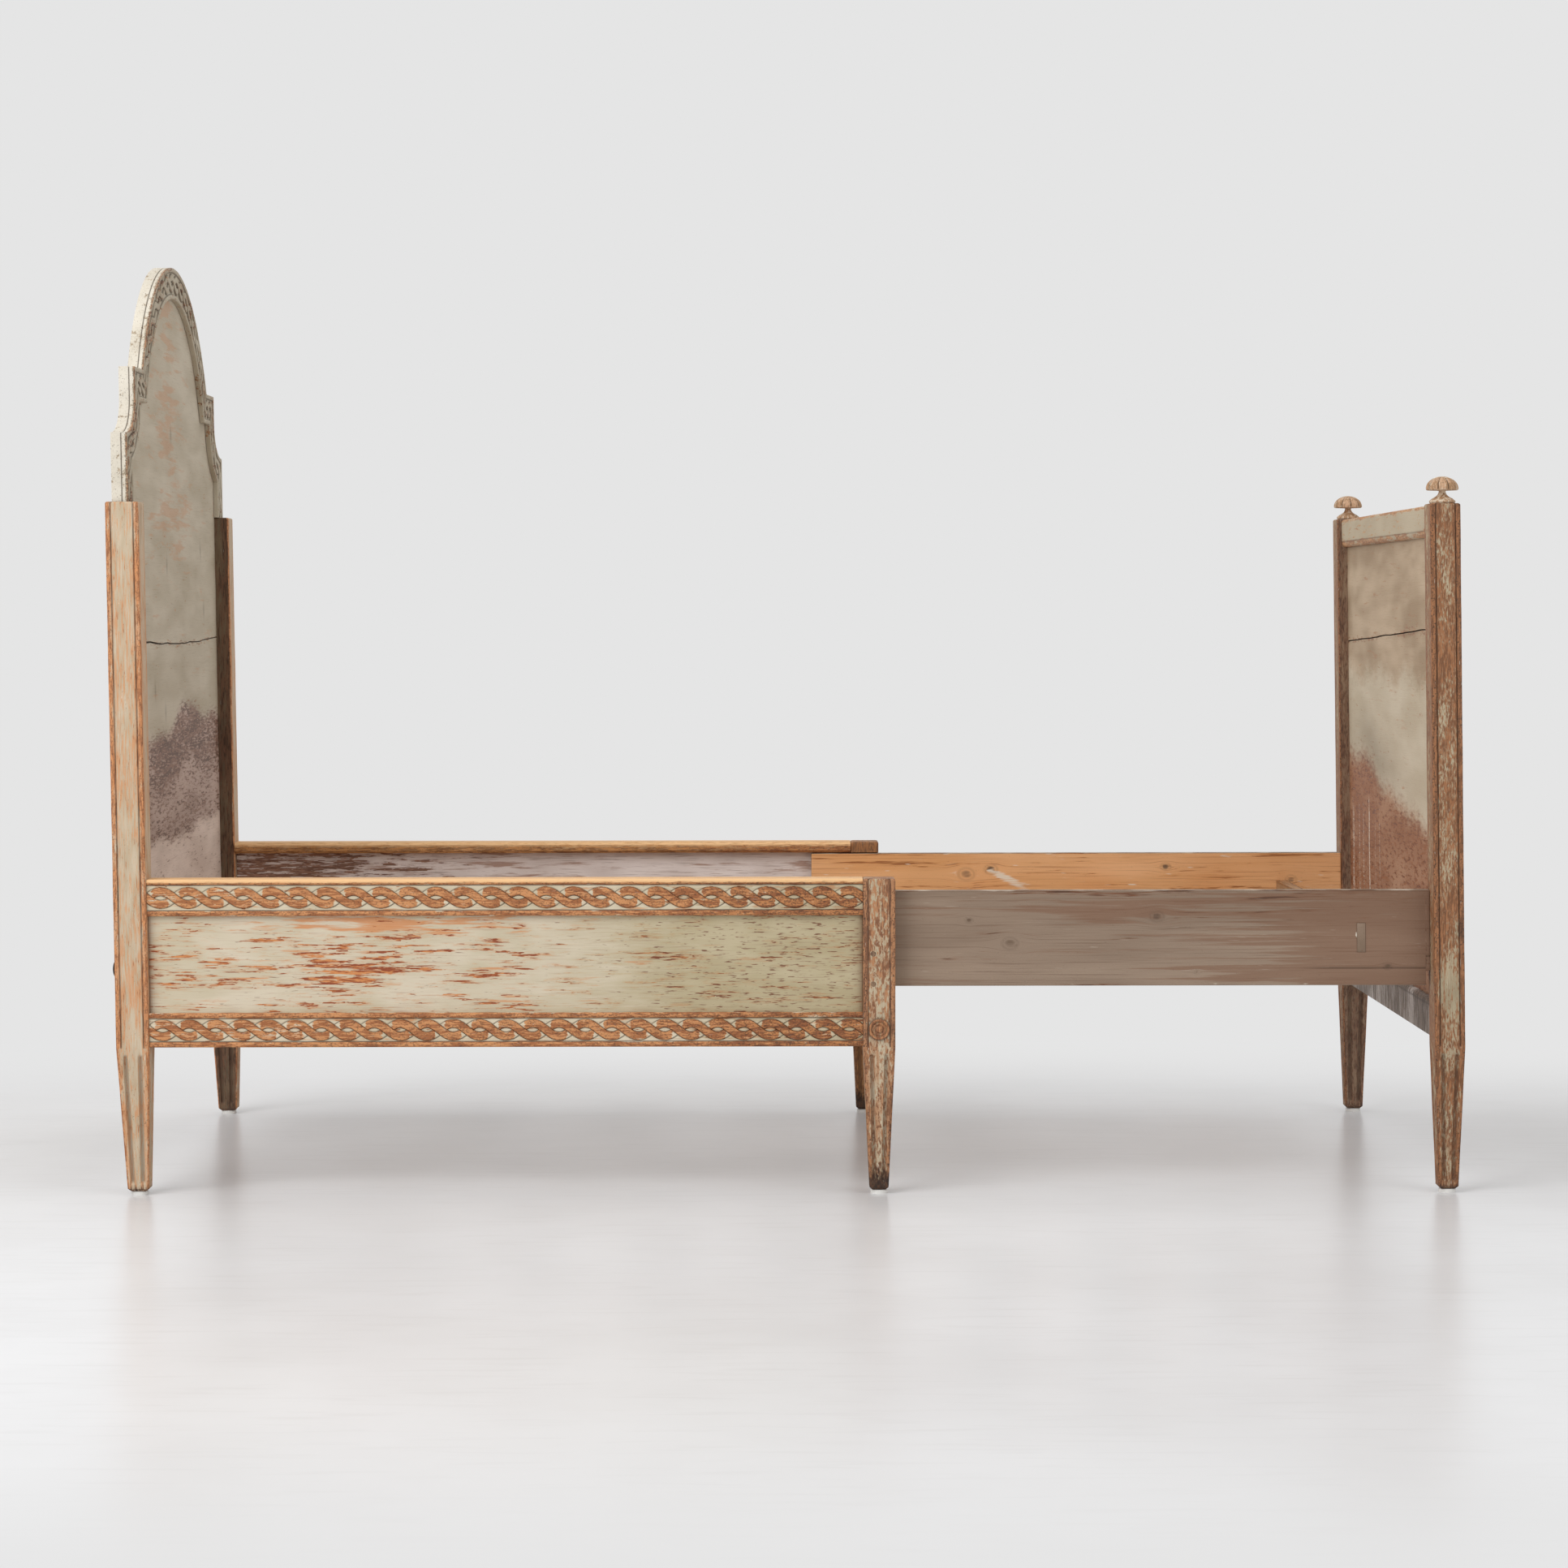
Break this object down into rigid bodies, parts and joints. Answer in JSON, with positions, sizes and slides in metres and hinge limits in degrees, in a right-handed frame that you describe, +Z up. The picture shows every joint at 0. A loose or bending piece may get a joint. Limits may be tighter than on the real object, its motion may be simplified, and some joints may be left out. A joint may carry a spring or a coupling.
{
  "type": "extending carved bed frame",
  "caption": "Period bed frame with carved rails and an arched, eared headboard; the foot half slides out of the head half to lengthen the bed.",
  "frame": {"origin": "on the floor, under the middle of the bed with its foot section drawn out", "axes": "+X along the bed from head to foot, +Y to the left of someone lying in it, +Z up"},
  "size_m": [1.968, 0.955, 1.385],
  "materials": {
    "worn_paint": "old grey-green paint, rubbed through to orange-brown pine on every raised edge",
    "board_paint": "thin grey-green paint on wide boards, stained and scratched lower down",
    "aged_pine": "bare pine, darkened by age, scratched and knotty",
    "black_iron": "forged iron, blackened",
    "white_felt": "pressed felt"
  },
  "bodies": {
    "head_section": {"head_bolt_left": "black_iron", "head_bolt_right": "black_iron", "head_bottom_rail": "worn_paint", "head_nut_left": "black_iron", "head_nut_right": "black_iron", "head_pad_left": "white_felt", "head_pad_right": "white_felt", "head_post_left": "worn_paint", "head_post_right": "worn_paint", "head_slat_1": "aged_pine", "head_slat_2": "aged_pine", "head_slat_3": "aged_pine", "head_slat_4": "aged_pine", "head_slat_5": "aged_pine", "headboard_crest": "worn_paint", "headboard_panel_lower": "board_paint", "headboard_panel_upper": "board_paint", "mid_pad_left": "white_felt", "mid_pad_right": "white_felt", "mid_post_left": "worn_paint", "mid_post_right": "worn_paint", "mid_stretcher": "aged_pine", "rosette_left": "worn_paint", "rosette_right": "worn_paint", "side_bottom_rail_left": "worn_paint", "side_bottom_rail_right": "worn_paint", "side_panel_left": "worn_paint", "side_panel_right": "worn_paint", "side_top_rail_left": "worn_paint", "side_top_rail_right": "worn_paint", "slide_ledger_left": "aged_pine", "slide_ledger_right": "aged_pine", "tenon_peg_left_lower": "aged_pine", "tenon_peg_left_upper": "aged_pine", "tenon_peg_right_lower": "aged_pine", "tenon_peg_right_upper": "aged_pine"},
    "foot_section": {"cross_stretcher": "aged_pine", "finial_left": "worn_paint", "finial_right": "worn_paint", "foot_bolt_left": "black_iron", "foot_bolt_right": "black_iron", "foot_bottom_rail": "worn_paint", "foot_nut_left": "black_iron", "foot_nut_right": "black_iron", "foot_pad_left": "white_felt", "foot_pad_right": "white_felt", "foot_panel_lower": "board_paint", "foot_panel_upper": "board_paint", "foot_post_left": "worn_paint", "foot_post_right": "worn_paint", "foot_slat_1": "aged_pine", "foot_slat_2": "aged_pine", "foot_slat_3": "aged_pine", "foot_slat_4": "aged_pine", "foot_top_rail": "worn_paint", "slat_ledger_left": "aged_pine", "slat_ledger_right": "aged_pine", "sliding_board_left": "aged_pine", "sliding_board_right": "aged_pine"}
  },
  "joints": [
    {"name": "bed_extension", "type": "slide", "parent": "head_section", "child": "foot_section", "axis": [1, 0, 0], "range_m": [-0.777, 0]}
  ]
}
